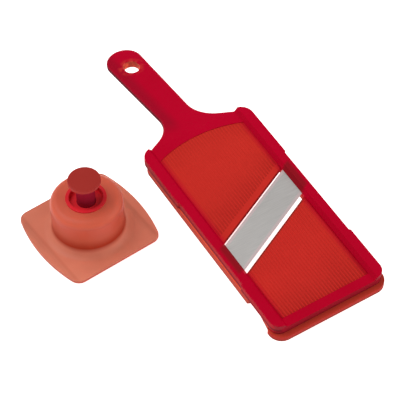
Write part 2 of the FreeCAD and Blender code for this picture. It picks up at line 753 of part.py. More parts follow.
def make_guard_shell():
    body = new_body("guard_shell", guard_pose)
    half_x = guide_half - S["flange_inset"]
    half_y = S["flange_length"] / 2
    plan = new_sketch(body, "plan", height=S["guide_height"])
    draw_outline(plan, [(-half_x, -half_y), (half_x, -half_y, S["wing_arc"]),
                        (half_x, half_y), (-half_x, half_y, S["wing_arc"])])
    flange = pad(body, "flange", plan, S["flange_thick"])
    corners = round_edges(body, "flange_corners", flange, S["flange_corner"],
                          lambda edge: abs(edge.Vertexes[0].Point.z
                                           - edge.Vertexes[-1].Point.z) > 1)
    radius = S["dome_radius"]
    round_edges(body, "flange_edges", corners, S["flange_round"],
                lambda edge: edge_is_level(edge, flange_top.value))
    dome = spin(body, "dome", [(0, S["guide_height"]), (radius, S["guide_height"]),
                               (radius, S["guard_height"]), (0, S["guard_height"])])
    top = round_edges(body, "dome_shoulder", dome, S["dome_shoulder"],
                      circle_edges(radius.value, S["guard_height"].value))
    round_edges(body, "dome_flare", top, S["dome_flare"],
                circle_edges(radius.value, flange_top.value))
    inner = radius - S["dome_wall"]
    roof = S["guard_height"] - S["dome_wall"]
    hollow = spin(body, "dome_hollow", [(0, 0), (inner, 0), (inner, roof), (0, roof)],
                  kind="Groove")
    inside = round_edges(body, "inner_shoulder", hollow, S["dome_shoulder"] - S["dome_wall"],
                         circle_edges(inner.value, roof.value))
    round_edges(body, "inner_flare", inside, S["inner_flare"],
                circle_edges(inner.value, S["guide_height"].value))
    hole = new_sketch(body, "collar_hole", height=S["guard_height"])
    draw_circle(hole, 0, 0, S["collar_radius"] + S["collar_gap"])
    pocket_down(body, "collar_hole_cut", hole, S["guard_height"] - roof + 1)
    for name, side in (("right_guide", 1), ("left_guide", -1)):
        outer = guide_half * side
        inner_x = (guide_half - S["guide_thick"]) * side
        low, high = (inner_x, outer) if side > 0 else (outer, inner_x)
        length = half_y - S["flange_corner"]
        guide = new_sketch(body, name + "_plan", height=0)
        draw_outline(guide, box_corners(low, -length, high, length))
        pad(body, name, guide, S["guide_height"] + S["guide_bond"])


def make_guard_collar():
    body = new_body("guard_collar", guard_pose)
    outer = S["collar_radius"]
    inner = outer - S["collar_wall"]
    bore = S["stem_radius"] + S["stem_gap"]
    lip = outer + S["collar_lip"]
    floor = collar_bottom + S["collar_floor"]
    ring = spin(body, "cup", [
        (bore, collar_bottom), (outer, collar_bottom), (outer, S["guard_height"]),
        (lip, S["guard_height"]), (lip, collar_top), (inner, collar_top), (inner, floor),
        (bore, floor)])
    round_edges(body, "lip_edges", ring, S["collar_lip"] * 0.4,
                lambda edge: circle_edges(lip.value, collar_top.value)(edge)
                or circle_edges(inner.value, collar_top.value)(edge))
    middle = collar_bottom + S["collar_floor"] / 2
    half = S["ring_wire"] + S["ring_room"]
    depth = S["stem_radius"] + S["ring_gap"] + S["ring_wire"] * 2 + S["ring_room"]
    spin(body, "ring_groove", [
        (bore - 1, middle - half), (depth, middle - half), (depth, middle + half),
        (bore - 1, middle + half)], kind="Groove")


def make_friction_ring():
    body = new_body("friction_ring", guard_pose)
    profile = new_sketch(body, "profile", role="XZ_Plane")
    draw_circle(profile, S["stem_radius"] + S["ring_gap"] + S["ring_wire"],
                collar_bottom + S["collar_floor"] / 2, S["ring_wire"])
    turn(body, "Revolution", "ring", profile)


def make_plunger_stem():
    body = new_body("plunger_stem", guard_pose)
    outer = S["stem_radius"]
    inner = outer - S["stem_wall"]
    top = knob_bottom - S["knob_taper"] + S["knob_grip"]
    spin(body, "tube", [(0, pusher_top), (outer, pusher_top), (outer, top), (inner, top),
                        (inner, pusher_top + S["stem_floor"]),
                        (0, pusher_top + S["stem_floor"])])
    hole = new_sketch(body, "screw_hole", height=pusher_top)
    draw_circle(hole, 0, 0, S["plunger_screw"] + S["screw_gap"])
    pocket_up(body, "screw_hole_cut", hole, S["plunger_bite"] + S["screw_gap"])


def make_plunger_knob():
    body = new_body("plunger_knob", guard_pose)
    neck = S["knob_neck"]
    low = knob_bottom - S["knob_taper"]
    knob = spin(body, "disc", [(0, low), (neck, low), (S["knob_radius"], knob_bottom),
                               (S["knob_radius"], S["knob_top"]), (0, S["knob_top"])])
    round_edges(body, "rim", knob, S["knob_round"],
                circle_edges(S["knob_radius"].value, S["knob_top"].value))
    socket = new_sketch(body, "socket", height=low)
    draw_circle(socket, 0, 0, S["stem_radius"] + S["screw_gap"])
    pocket_up(body, "socket_cut", socket, S["knob_grip"] + S["screw_gap"])


def make_pusher_plate():
    body = new_body("pusher_plate", guard_pose)
    plan = new_sketch(body, "plan", height=pusher_bottom)
    draw_circle(plan, 0, 0, pusher_radius)
    pad(body, "disc", plan, S["pusher_thick"])
    pins = new_sketch(body, "pin_hole", height=pusher_bottom)
    draw_circle(pins, S["pin_circle"], 0, S["pin_radius"] + S["pin_gap"])
    around(body, pocket_up(body, "pin_hole_cut", pins, S["pin_seat"] + S["pin_gap"]))
    head = new_sketch(body, "screw_head", height=pusher_bottom)
    draw_circle(head, 0, 0, S["plunger_head"] + S["screw_gap"])
    pocket_up(body, "screw_head_cut", head, S["plunger_head_height"] + S["screw_gap"])
    hole = new_sketch(body, "screw_hole", height=pusher_bottom)
    draw_circle(hole, 0, 0, S["plunger_screw"] + S["screw_gap"])
    pocket_up(body, "screw_hole_cut", hole, EVERYWHERE)


def around(body, feature):
    """Repeats a feature once for each food pin."""
    pattern = body.newObject("PartDesign::PolarPattern", feature.Name + "_pattern")
    pattern.Originals = [feature]
    axis = [item for item in body.Origin.OriginFeatures if item.Role == "Z_Axis"][0]
    pattern.Axis = (axis, [""])
    pattern.Angle = 360
    body.Tip = pattern
    pattern.setExpression("Occurrences", S["pin_count"].text)
    doc.recompute()
    return pattern


def make_food_pins():
    body = new_body("food_pins", guard_pose)
    body.AllowCompound = True
    plan = new_sketch(body, "plan", height=pusher_bottom + S["pin_seat"])
    draw_circle(plan, S["pin_circle"], 0, S["pin_radius"])
    pin = pad(body, "pin", plan, S["pin_seat"] + S["pin_length"], downwards=True)
    tip = pusher_bottom - S["pin_length"]
    bevel(body, "point", pin, S["pin_point"], S["pin_radius"] * 0.75,
          circle_edges(S["pin_radius"].value, tip.value))
    around(body, pin)


def make_plunger_screw():
    body = new_body("plunger_screw", guard_pose)
    head = pusher_bottom + S["plunger_head_height"]
    spin(body, "screw", [
        (0, pusher_bottom), (S["plunger_head"], pusher_bottom), (S["plunger_head"], head),
        (S["plunger_screw"], head), (S["plunger_screw"], pusher_top + S["plunger_bite"]),
        (0, pusher_top + S["plunger_bite"])])


def make_guard():
    make_guard_shell()
    make_guard_collar()
    make_friction_ring()
    make_plunger_stem()
    make_plunger_knob()
    make_pusher_plate()
    make_food_pins()
    make_plunger_screw()


make_slicer()
make_guard()
doc.recompute()

# ---------------------------------------------------------------- checks and export

for body in PARTS:
    for item in [body] + list(body.Group):
        if "Invalid" in item.State or "Error" in item.State:
            raise RuntimeError(body.Label + ": " + item.Label + " did not build")
    if body.Shape.isNull() or not body.Shape.isValid():
        raise RuntimeError(body.Label + " has no valid shape")

os.makedirs("parts", exist_ok=True)
for body in PARTS:
    body.Shape.exportStep("parts/%s.step" % body.Label)
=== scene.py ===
import json
import math
import bmesh
import bpy
from mathutils import Matrix, Vector


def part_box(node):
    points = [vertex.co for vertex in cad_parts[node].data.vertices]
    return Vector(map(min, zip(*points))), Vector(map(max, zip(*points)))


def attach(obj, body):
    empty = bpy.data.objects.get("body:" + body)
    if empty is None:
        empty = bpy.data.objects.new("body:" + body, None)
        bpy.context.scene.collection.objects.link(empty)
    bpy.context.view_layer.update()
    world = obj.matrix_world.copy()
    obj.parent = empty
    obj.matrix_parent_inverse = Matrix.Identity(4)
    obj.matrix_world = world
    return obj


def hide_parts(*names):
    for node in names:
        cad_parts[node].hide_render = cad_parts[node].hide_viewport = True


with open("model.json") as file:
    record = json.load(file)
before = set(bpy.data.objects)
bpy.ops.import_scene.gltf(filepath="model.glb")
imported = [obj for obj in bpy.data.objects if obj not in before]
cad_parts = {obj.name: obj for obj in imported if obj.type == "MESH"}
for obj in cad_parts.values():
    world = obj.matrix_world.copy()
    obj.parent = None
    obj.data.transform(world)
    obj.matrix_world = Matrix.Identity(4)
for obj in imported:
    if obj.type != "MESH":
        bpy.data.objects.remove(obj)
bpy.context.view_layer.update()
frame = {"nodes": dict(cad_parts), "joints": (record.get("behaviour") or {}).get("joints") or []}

# A hand-held mandoline slicer of clear crimson plastic on an orange lower frame, with its
# frosted food guard beside it. Metres, in the frame of the CAD model.

MM = 0.001

# ---------------------------------------------------------------- sizes of the slicer

# The slicer is drawn level, from its front edge back, and leans back on its handle tip.
RELEASE = [joint for joint in frame["joints"] if joint["name"] == "lower_frame_release"][0]
LEAN = math.atan2(RELEASE["axis"][1], -RELEASE["axis"][2])
FRONT_EDGE = Vector((0, -5.055, 0.8)) * MM
LEVEL_TO_GROUND = Matrix.Translation(FRONT_EDGE) @ Matrix.Rotation(LEAN, 4, "X")

BLADE_ANGLE = math.radians(26.4)
BLADE_SLOPE = math.tan(BLADE_ANGLE)
BLADE_MIDDLE = 90.3 * MM
BLADE_HALF = 11.5 * MM
BLADE_END = 43.0 * MM
NEAR_SLOT = 2.35 * MM
FAR_SLOT = 1.55 * MM
RAMP = 5.6 * MM
LAND_END = 11.5 * MM
PANEL_REAR = 174.5 * MM
PANEL_ARC = 97.6 * MM
CHANNEL_HALF = 36.3 * MM
PANEL_CROWN = PANEL_REAR + PANEL_ARC - math.sqrt(PANEL_ARC ** 2 - CHANNEL_HALF ** 2)
UPPER_TOP = 10.0 * MM
LOWER_TOP = 9.0 * MM

# The panels end in slanted edges on both sides of the blade.
LOWER_EDGE = BLADE_MIDDLE - (BLADE_HALF + NEAR_SLOT) / math.cos(BLADE_ANGLE)
UPPER_EDGE = BLADE_MIDDLE + (BLADE_HALF + FAR_SLOT) / math.cos(BLADE_ANGLE)

# The handle droops from the back of the deck.
BODY_LENGTH = 187.0 * MM
DECK_HEIGHT = 10.5 * MM
HANDLE_BEND = math.radians(10.5)
HANDLE_THICK = 6.0 * MM
HANG_HOLE = 93.5 * MM
HANDLE_TO_GROUND = (LEVEL_TO_GROUND @ Matrix.Translation((0, BODY_LENGTH, DECK_HEIGHT))
                    @ Matrix.Rotation(-HANDLE_BEND, 4, "X"))

# ribs
RIB_COUNT = 30
RIB_PITCH = 2.4 * MM
RIB_WIDTH = 1.5 * MM
RIB_MARGIN = 0.4 * MM
UPPER_RIB_HEIGHT = 0.22 * MM
LOWER_RIB_HEIGHT = 0.4 * MM

# screws
SCREW_RADIUS = 1.4 * MM
SCREW_HEAD = 2.6 * MM
SCREW_HEAD_HEIGHT = 1.2 * MM
BLADE_SCREW_LENGTH = 5.2 * MM
BLADE_SCREW_X = 40.0 * MM
BLADE_SCREW_OFFSET = 6.0 * MM
BLADE_SCREW_LOW = 6.8 * MM
COVER_SCREW_LENGTH = 3.8 * MM
COVER_SCREW_START = 20.2 * MM
COVER_SCREW_SPACING = 51.6 * MM
SCREW_SIDES = 40
THREAD_PITCH = 0.7 * MM
PLUNGER_SCREW_RADIUS = 1.0 * MM
PLUNGER_HEAD_HEIGHT = 1.3 * MM

# guard
GUARD_TURN = math.radians(4.3)
GUIDE_LINE = 34.5 * MM
GUIDE_DEPTH = 2.5 * MM

# ---------------------------------------------------------------- tints, painted shade and painted light

CRIMSON_DEEP = (0.49, 0.0006, 0.018)
CRIMSON_LIGHT = (0.57, 0.0008, 0.025)
# painted shade on the panels' cut edges beside the blade, upper then lower
UPPER_CUT_SHADE = (0.13, 0.006, 0.008)
LOWER_CUT_SHADE = (0.20, 0.03, 0.018)
# width of the painted red glow from the rails along the panels' sides
SIDE_GLOW = 4.5 * MM
# painted shadow of the blade ends, seen through the clear rails
BLADE_SHADOW_TINT = (0.27, 0.008, 0.014)
# painted shade on the handle's left flank
FLANK_SHADE = (0.33, 0.004, 0.02)
# painted shade on upright walls: the handle, the rails' outsides and the front lip
HANDLE_WALL_SHADE = (0.10, 0.0, 0.008)
RAIL_WALL_SHADE = (0.40, 0.014, 0.020)
LIP_WALL_SHADE = (0.24, 0.012, 0.020)
# painted shade: a dark line low on the rails' outer walls
RAIL_FOOT_SHADE = (0.13, 0.004, 0.008)
# painted highlights round the hanging hole: glints, and light on its bore
HOLE_GLINT = (0.62, 0.03, 0.03)
HOLE_BORE_LIGHT = (0.80, 0.13, 0.06)
NOSE_RED = (0.42, 0.020, 0.018)
# painted shade and light on the lower frame: dark lower rim, darker wall band, lighter level
# faces
LOWER_RIM_SHADE = (0.20, 0.045, 0.025)
WALL_BAND_SHADE = (0.40, 0.03, 0.024)
LEVEL_FACE_LIGHT = (0.90, 0.11, 0.055)
DOME_ROOF = (0.90, 0.17, 0.09)
# painted shade on the dome's upright walls, deepest near its foot
DOME_WALL_SHADE = (0.50, 0.040, 0.012)
GUIDE_SHADE = (0.60, 0.10, 0.05)
# painted shade: near-black rim at the guides' depth
GUARD_RIM_SHADE = (0.04, 0.004, 0.003)
# painted reflection of the red plastic on the blade's ground bevels
BEVEL_REFLECTION = (0.78, 0.62, 0.62)
RUBBER_DEEP = (0.05, 0.008, 0.012)
RUBBER_LIGHT = (0.08, 0.014, 0.02)


# ---------------------------------------------------------------- node graphs

class Value:
    """One node socket that can be used in sums."""

    def __init__(self, graph, socket):
        self.graph = graph
        self.socket = socket

    def _sum(self, operation, first, second):
        return self.graph.make("ShaderNodeMath", {"operation": operation},
                               {0: first, 1: second})[0]

    def __add__(self, other):
        return self._sum("ADD", self, other)

    def __radd__(self, other):
        return self._sum("ADD", other, self)

    def __sub__(self, other):
        return self._sum("SUBTRACT", self, other)

    def __rsub__(self, other):
        return self._sum("SUBTRACT", other, self)

    def __mul__(self, other):
        return self._sum("MULTIPLY", self, other)

    def __rmul__(self, other):
        return self._sum("MULTIPLY", other, self)


class Graph:
    """A node tree whose nodes are made one call at a time."""

    def __init__(self, tree):
        self.tree = tree

    def make(self, kind, settings=None, inputs=None):
        """Adds a node, sets it up, feeds its sockets and gives its outputs as Values."""
        node = self.tree.nodes.new(kind)
        for key, value in (settings or {}).items():
            if key == "stops":
                set_stops(node.color_ramp, value)
            else:
                setattr(node, key, value)
        for key, value in (inputs or {}).items():
            if isinstance(value, Value):
                self.tree.links.new(value.socket, node.inputs[key])
            else:
                node.inputs[key].default_value = value
        return [Value(self, socket) for socket in node.outputs]


def set_stops(ramp, stops):
    while len(ramp.elements) < len(stops):
        ramp.elements.new(1.0)
    for element, (position, color) in zip(ramp.elements, stops):
        element.position = position
        element.color = (*color, 1)


class Finish(Graph):
    """A material in the making. Patterns read Object coordinates, in metres."""

    def __init__(self, name):
        self.material = bpy.data.materials.new(name)
        self.material.use_nodes = True
        Graph.__init__(self, self.material.node_tree)
        self.tree.nodes.clear()
        self.output = self.tree.nodes.new("ShaderNodeOutputMaterial")

    def point(self):
        return self.make("ShaderNodeTexCoord")[3]

    def axes(self):
        """The x, y and z of the shaded point."""
        return self.make("ShaderNodeSeparateXYZ", {}, {0: self.point()})

    def noise(self, scale, detail=2.0, stretch=(1, 1, 1), turn=0.0):
        place = self.make("ShaderNodeMapping", {}, {
            "Vector": self.point(), "Rotation": (0, 0, turn), "Scale": stretch})[0]
        return self.make("ShaderNodeTexNoise", {}, {
            "Vector": place, "Scale": scale, "Detail": detail})[0]

    def ramp(self, factor, stops):
        return self.make("ShaderNodeValToRGB", {"stops": stops}, {"Fac": factor})[0]

    def between(self, value, low, high, start=0.0, end=1.0):
        return self.make("ShaderNodeMapRange", {}, {
            "Value": value, "From Min": start, "From Max": end,
            "To Min": low, "To Max": high})[0]

    def mix(self, factor, first, second):
        colors = {6: first, 7: second}
        padded = {key: color if isinstance(color, Value) else (*color, 1)
                  for key, color in colors.items()}
        return self.make("ShaderNodeMix", {"data_type": "RGBA"}, {0: factor, **padded})[2]

    def upright(self):
        """1 on upright faces and 0 on faces that are nearly level."""
        normal = self.make("ShaderNodeTexCoord")[1]
        lift = self.size_of(self.make("ShaderNodeSeparateXYZ", {}, {0: normal})[2])
        return self.between(lift, 1.0, 0.0, 0.1, 0.6)

    def level_height(self):
        """The height over the lower frame's underside, before the slicer leans."""
        _, y, z = self.axes()
        return (z * math.cos(LEAN) - y * math.sin(LEAN)
                - (FRONT_EDGE.z * math.cos(LEAN) - FRONT_EDGE.y * math.sin(LEAN)))

    def size_of(self, value):
        """A value without its sign."""
        return self.make("ShaderNodeMath", {"operation": "ABSOLUTE"}, {0: value})[0]

    def bump(self, height, strength, distance):
        return self.make("ShaderNodeBump", {}, {
            "Height": height, "Strength": strength, "Distance": distance})[0]

    def surface(self, **sockets):
        shader = self.make("ShaderNodeBsdfPrincipled", {}, {
            key.replace("_", " ").title().replace("Ior", "IOR"): value
            for key, value in sockets.items()})[0]
        self.tree.links.new(shader.socket, self.output.inputs["Surface"])
        return self.material


# ---------------------------------------------------------------- finishes

def across_blade(finish):
    """The distance from the blade's middle line, in y, over the whole slicer."""
    x, y, _ = finish.axes()
    middle = (LEVEL_TO_GROUND @ Vector((0, BLADE_MIDDLE, UPPER_TOP))).y
    return y - x * (BLADE_SLOPE * math.cos(LEAN)) - middle


def panel_color(finish, color, edge, dark):
    """Paints shade along a panel's cut edge beside the blade, and a red glow from the rails
    along its sides.
    """
    cut = finish.size_of(across_blade(finish) - (edge - BLADE_MIDDLE))
    # painted shade along the cut edge
    color = finish.mix(finish.between(cut, 0.85, 0.0, 0.7 * MM, 1.7 * MM), color, dark)
    side = finish.size_of(finish.axes()[0])
    # painted glow: the panel's sides next to the rails are lit red, as by light from the crimson
    # rails
    rail_glow = finish.between(side, 0.0, 0.75, CHANNEL_HALF - SIDE_GLOW, CHANNEL_HALF)
    return finish.mix(rail_glow, color, CRIMSON_LIGHT)


def frame_color(finish, color):
    """Paints shade and light on the clear frame: the blade's shadow seen through the rails, a
    shaded left flank on the handle, dark upright walls, a dark line at the rails' foot, and
    glints and light round the hanging hole.
    """
    x, y, _ = finish.axes()
    side = finish.size_of(x)
    # painted shadow: the rails darken over the blade's ends, where the blade blocks the light
    blade_shadow = (finish.between(finish.size_of(across_blade(finish)), 0.85, 0.0,
                                 BLADE_HALF, BLADE_HALF + 2.5 * MM)
                  * finish.between(side, 1.0, 0.0, BLADE_END - 1.5 * MM, BLADE_END + MM))
    color = finish.mix(blade_shadow, color, BLADE_SHADOW_TINT)
    # painted shade: a darker band down the handle's left flank, where it turns from the light
    left_flank_shade = (finish.between(x, 0.65, 0.0, -9 * MM, -3 * MM)
                  * finish.between(y, 0.0, 1.0, BODY_LENGTH, BODY_LENGTH + 12 * MM))
    color = finish.mix(left_flank_shade, color, FLANK_SHADE)
    on_handle = finish.between(y, 0.0, 1.0, BODY_LENGTH - 8 * MM, BODY_LENGTH)
    # painted shade: the handle's upright walls are dark, as dark outlines
    color = finish.mix(finish.upright() * on_handle, color, HANDLE_WALL_SHADE)
    outside = (finish.between(side, 0.0, 1.0, CHANNEL_HALF + 4 * MM, CHANNEL_HALF + 6 * MM)
               * (1.0 - on_handle))
    # painted shade: the rails' outer walls are darkened
    color = finish.mix(finish.upright() * outside, color, RAIL_WALL_SHADE)
    # painted shade: the front lip's upright face is darkened
    front = finish.upright() * finish.between(y, 0.8, 0.0, 1 * MM, 3 * MM)
    color = finish.mix(front, color, LIP_WALL_SHADE)
    # painted shade: a dark line low on the rails' outer walls, in the gap over the orange lower
    # frame
    height = finish.level_height()
    foot = finish.between(finish.size_of(height - DECK_HEIGHT + 2.2 * MM), 0.8, 0.0,
                          0.6 * MM, 1.3 * MM)
    color = finish.mix(finish.upright() * outside * foot, color, RAIL_FOOT_SHADE)
    hole = HANDLE_TO_GROUND @ Vector((0, HANG_HOLE, -HANDLE_THICK / 2))
    around = finish.make("ShaderNodeVectorMath", {"operation": "DISTANCE"}, {
        0: finish.point(), 1: hole})[1]
    near_hole = finish.between(around, 1.0, 0.0, 8.5 * MM, 12 * MM)
    # painted highlights: noisy glints round the hanging hole, and painted light on the hole's
    # bore
    glint = finish.between(finish.noise(260.0, 3.0), 0.0, 1.0, 0.42, 0.62)
    color = finish.mix(near_hole * glint, color, HOLE_GLINT)
    bore = near_hole * finish.upright() * (0.45 + glint * 0.55)
    return finish.mix(bore, color, HOLE_BORE_LIGHT)


def lower_frame_color(finish, color):
    """Reddens the nose; paints shade on the lower rim, where its rounded edge bends the light,
    and on a band high on the walls; and paints light on the level faces.
    """
    _, y, _ = finish.axes()
    nose = finish.between(y, 0.85, 0.0, 2 * MM, 12 * MM)
    color = finish.mix(nose, color, NOSE_RED)
    height = finish.level_height()
    # painted shade: dark lower rim
    rim = finish.upright() * finish.between(height, 0.75, 0.0, 1.0 * MM, 2.2 * MM)
    color = finish.mix(rim, color, LOWER_RIM_SHADE)
    # painted shade: a darker band high on the walls, under the crimson frame
    band = finish.upright() * finish.between(height, 0.0, 0.6, 3.8 * MM, 5.8 * MM)
    color = finish.mix(band, color, WALL_BAND_SHADE)
    # painted light: the level faces are made lighter, against the shade of the lip over the
    # front shelf
    level = (1.0 - finish.upright()) * (1.0 - nose * 0.8)
    return finish.mix(level, color, LEVEL_FACE_LIGHT)


def guard_color(finish, color):
    """Tints the guard: pale flange, a redder top, painted shade on the dome's upright walls, a
    painted shadow line over each guide and a painted dark rim at the guides' depth.
    """
    _, _, z = finish.axes()
    roof = finish.between(z, 0.0, 1.0, 8 * MM, 28 * MM)
    color = finish.mix(roof, color, DOME_ROOF)
    # painted shade: the dome's upright walls turn deep red, most near the foot, where light
    # crosses more plastic
    foot = finish.between(finish.size_of(z - 10 * MM), 1.0, 0.6, 2 * MM, 10 * MM)
    color = finish.mix(finish.upright() * foot, color, DOME_WALL_SHADE)
    centre = (Vector(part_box("guard_collar")[0]) + Vector(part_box("guard_collar")[1])) / 2
    turn = Matrix.Rotation(-GUARD_TURN, 3, "Z")
    local = finish.make("ShaderNodeMapping", {}, {
        "Vector": finish.point(), "Rotation": (0, 0, -GUARD_TURN),
        "Location": -(turn @ centre)})[0]
    x, _, _ = finish.make("ShaderNodeSeparateXYZ", {}, {0: local})
    guide = finish.between(finish.size_of(finish.size_of(x) - GUIDE_LINE), 0.3, 0.0,
                           0.7 * MM, 1.6 * MM) * finish.between(z, 1.0, 0.0, 4 * MM, 8 * MM)
    color = finish.mix(guide, color, GUIDE_SHADE)
    # painted shade: upright faces at the guides' depth, along the flange's lower rim, are near
    # black
    guides = finish.upright() * finish.between(z, 0.95, 0.0, GUIDE_DEPTH - 0.3 * MM,
                                               GUIDE_DEPTH + 0.3 * MM)
    return finish.mix(guides, color, GUARD_RIM_SHADE)


def moulded_plastic(name, deep, light, roughness, clear=0.0, gloss=0.1, tint=None):
    """Tinted moulded plastic with flow marks and a faint orange peel.

    deep and light are the tints between which the flow marks move, and tint changes the
    colour from place to place."""
    finish = Finish(name)
    flow = finish.noise(14.0, 3.0, (1, 0.3, 1))
    mottle = finish.noise(70.0, 3.0)
    color = finish.ramp(flow * 0.7 + mottle * 0.3, [(0.3, deep), (0.7, light)])
    if tint is not None:
        color = tint(finish, color)
    peel = finish.noise(420.0, 2.0)
    return finish.surface(
        base_color=color, roughness=finish.between(mottle, roughness * 0.8, roughness * 1.25),
        normal=finish.bump(peel, 0.1, 0.1 * MM), transmission_weight=clear, ior=1.45,
        specular_ior_level=0.0, coat_weight=gloss, coat_roughness=0.12)


def frosted_plastic(name, deep, light, clear, tint=None):
    """Tinted plastic with a fine blasted surface."""
    finish = Finish(name)
    cloud = finish.noise(30.0, 3.0)
    grain = finish.noise(2600.0, 2.0)
    color = finish.ramp(cloud, [(0.3, deep), (0.7, light)])
    if tint is not None:
        color = tint(finish, color)
    return finish.surface(
        base_color=color, roughness=finish.between(grain, 0.34, 0.5),
        normal=finish.bump(grain, 0.15, 0.05 * MM),
        transmission_weight=clear, ior=1.45, specular_ior_level=0.15)


def ground_steel(name, dark, light, turn=0.0, tint=None):
    """Stainless steel with fine grinding scratches across or along the piece."""
    finish = Finish(name)
    scratch = finish.noise(90.0, 4.0, (1, 45, 1), turn)
    cloud = finish.noise(22.0)
    color = finish.ramp(scratch * 0.75 + cloud * 0.25, [(0.35, dark), (0.65, light)])
    if tint is not None:
        color = tint(finish, color)
    return finish.surface(
        base_color=color, metallic=0.6, roughness=finish.between(scratch, 0.34, 0.5),
        normal=finish.bump(scratch, 0.12, 0.05 * MM))


def blade_color(finish, color):
    """Painted reflection: the ground bevels at the two cutting edges take a warmer, pinkish
    tone, as of the red plastic around them mirrored in the steel.
    """
    away = finish.size_of(across_blade(finish)) * math.cos(BLADE_ANGLE)
    bevel = finish.between(away, 0.0, 0.8, BLADE_HALF - 2.6 * MM, BLADE_HALF - 2.0 * MM)
    return finish.mix(bevel, color, BEVEL_REFLECTION)


def soft_rubber(name):
    """Matt rubber with a fine grain and shallow grip lines."""
    finish = Finish(name)
    grain = finish.noise(1500.0, 3.0)
    cloud = finish.noise(60.0)
    x, _, _ = finish.axes()
    grip = finish.make("ShaderNodeMath", {"operation": "SINE"}, {0: x * 2600.0})[0]
    return finish.surface(
        base_color=finish.ramp(cloud, [(0.3, RUBBER_DEEP), (0.7, RUBBER_LIGHT)]),
        roughness=finish.between(grain, 0.6, 0.85),
        normal=finish.bump(grain * 0.3 + grip * 0.5, 0.4, 0.2 * MM), specular_ior_level=0.3)


def pale_floor():
    finish = Finish("pale_floor")
    finish.surface(base_color=(0.9, 0.9, 0.9, 1), roughness=0.9, specular_ior_level=0.0,
                   emission_color=(1, 1, 1, 1), emission_strength=0.9)
    return finish.material


CRIMSON = moulded_plastic("clear_crimson_plastic", CRIMSON_DEEP, CRIMSON_LIGHT, 0.25,
                          tint=frame_color)
PLAIN_CRIMSON = moulded_plastic("plain_crimson_plastic", CRIMSON_DEEP, CRIMSON_LIGHT, 0.25)
UPPER_RED = moulded_plastic(
    "upper_panel_plastic", (0.60, 0.028, 0.021), (0.68, 0.036, 0.025), 0.35, gloss=0.0,
    tint=lambda finish, color: panel_color(finish, color, UPPER_EDGE, UPPER_CUT_SHADE))
LOWER_RED = moulded_plastic(
    "lower_panel_plastic", (0.63, 0.030, 0.023), (0.72, 0.038, 0.028), 0.35, gloss=0.0,
    tint=lambda finish, color: panel_color(finish, color, LOWER_EDGE, LOWER_CUT_SHADE))
ORANGE = moulded_plastic("clear_orange_plastic", (0.44, 0.05, 0.03), (0.52, 0.066, 0.036),
                         0.2, tint=lower_frame_color)
KNOB_RED = moulded_plastic("knob_red_plastic", (0.36, 0.028, 0.022), (0.42, 0.038, 0.03),
                           0.4)
COLLAR_RED = moulded_plastic("collar_red_plastic", (0.72, 0.020, 0.030),
                             (0.82, 0.026, 0.040), 0.2, gloss=0.2)
STEM_RED = moulded_plastic("stem_red_plastic", (0.26, 0.008, 0.024), (0.34, 0.012, 0.034),
                           0.2, gloss=0.2)
GUARD = frosted_plastic("frosted_guard_plastic", (0.74, 0.22, 0.135), (0.86, 0.28, 0.17),
                        0.35, tint=guard_color)
FROSTED = frosted_plastic("frosted_orange_plastic", (0.72, 0.14, 0.08), (0.80, 0.18, 0.11),
                          0.5)
STEEL = ground_steel("ground_blade_steel", (0.57, 0.55, 0.53), (0.68, 0.655, 0.635),
                     -BLADE_ANGLE, tint=blade_color)
FASTENER = ground_steel("fastener_steel", (0.5, 0.5, 0.5), (0.64, 0.64, 0.63))
RUBBER = soft_rubber("soft_red_rubber")

NODE_FINISHES = {
    "upper_frame": CRIMSON, "upper_panel": UPPER_RED, "lower_panel": LOWER_RED,
    "blade": STEEL, "blade_clamp_left": PLAIN_CRIMSON, "blade_clamp_right": PLAIN_CRIMSON,
    "blade_screws": FASTENER, "handle_cover": PLAIN_CRIMSON, "cover_screws": FASTENER,
    "handle_foot": RUBBER, "lower_frame": ORANGE, "front_foot": RUBBER,
    "guard_shell": GUARD, "guard_collar": COLLAR_RED, "friction_ring": RUBBER,
    "plunger_stem": STEM_RED, "plunger_knob": KNOB_RED, "pusher_plate": FROSTED,
    "food_pins": FASTENER, "plunger_screw": FASTENER}

for name, node in frame["nodes"].items():
    node.data.materials.clear()
    node.data.materials.append(NODE_FINISHES[name])


# ---------------------------------------------------------------- repeated pieces

class Pattern(Graph):
    """A Geometry Nodes tree with named inputs."""

    def __init__(self, name, inputs):
        group = bpy.data.node_groups.new(name, "GeometryNodeTree")
        Graph.__init__(self, group)
        self.identifiers = {}
        for key, kind in inputs.items():
            socket = group.interface.new_socket(key, in_out="INPUT", socket_type=kind)
            self.identifiers[key] = socket.identifier
        group.interface.new_socket("Geometry", in_out="OUTPUT",
                                   socket_type="NodeSocketGeometry")
        entry = self.make("NodeGroupInput")
        self.given = dict(zip(inputs, entry))

    def vector(self, x=0.0, y=0.0, z=0.0):
        return self.make("ShaderNodeCombineXYZ", {}, {0: x, 1: y, 2: z})[0]

    def here(self):
        """The x, y and z of each point."""
        position = self.make("GeometryNodeInputPosition")[0]
        return self.make("ShaderNodeSeparateXYZ", {}, {0: position})

    def end(self, geometry, material):
        """Makes the instances real, gives them their material and closes the tree."""
        real = self.make("GeometryNodeRealizeInstances", {}, {"Geometry": geometry})[0]
        painted = self.make("GeometryNodeSetMaterial", {}, {
            "Geometry": real, "Material": material})[0]
        self.make("NodeGroupOutput", {}, {"Geometry": painted})

    def grow(self, name, values, place):
        """Runs the tree and gives its result as a plain mesh object, put in place."""
        seed = bpy.data.meshes.new(name + "_seed")
        piece = bpy.data.objects.new(name, seed)
        bpy.context.collection.objects.link(piece)
        modifier = piece.modifiers.new("pattern", "NODES")
        modifier.node_group = self.tree
        for key, value in values.items():
            modifier[self.identifiers[key]] = value
        mesh = bake(piece)
        piece.modifiers.clear()
        piece.data = mesh
        mesh.transform(place)
        return piece


